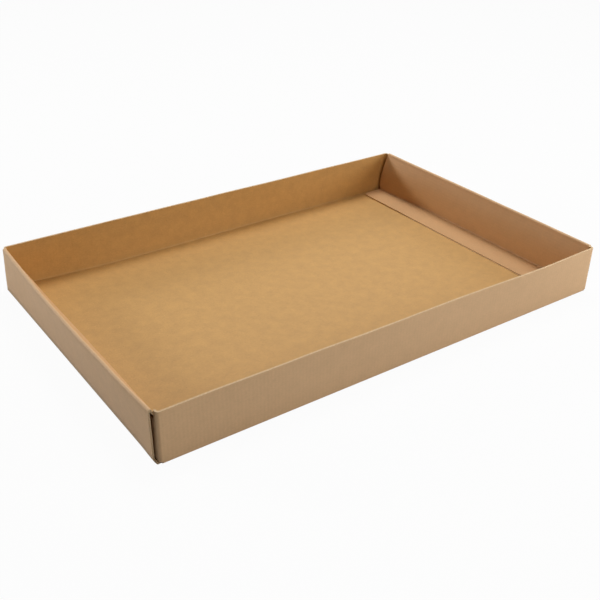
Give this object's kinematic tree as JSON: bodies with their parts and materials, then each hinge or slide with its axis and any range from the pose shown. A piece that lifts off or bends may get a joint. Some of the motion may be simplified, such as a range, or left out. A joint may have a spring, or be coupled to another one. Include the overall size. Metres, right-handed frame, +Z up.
{
  "type": "cardboard tray box",
  "caption": "Shallow rectangular tray folded from one sheet of brown kraft board, with upright walls, doubled end walls and floor flanges.",
  "frame": {"origin": "on the surface that the tray stands on, under the middle of its outline", "axes": "+X along the tray towards the end wall with the straight rim, +Y across it, +Z up"},
  "size_m": [0.4644, 0.3, 0.0468],
  "materials": {
    "kraft_board": "matte"
  },
  "bodies": {
    "root": {"folded_tray": "kraft_board"}
  },
  "joints": []
}
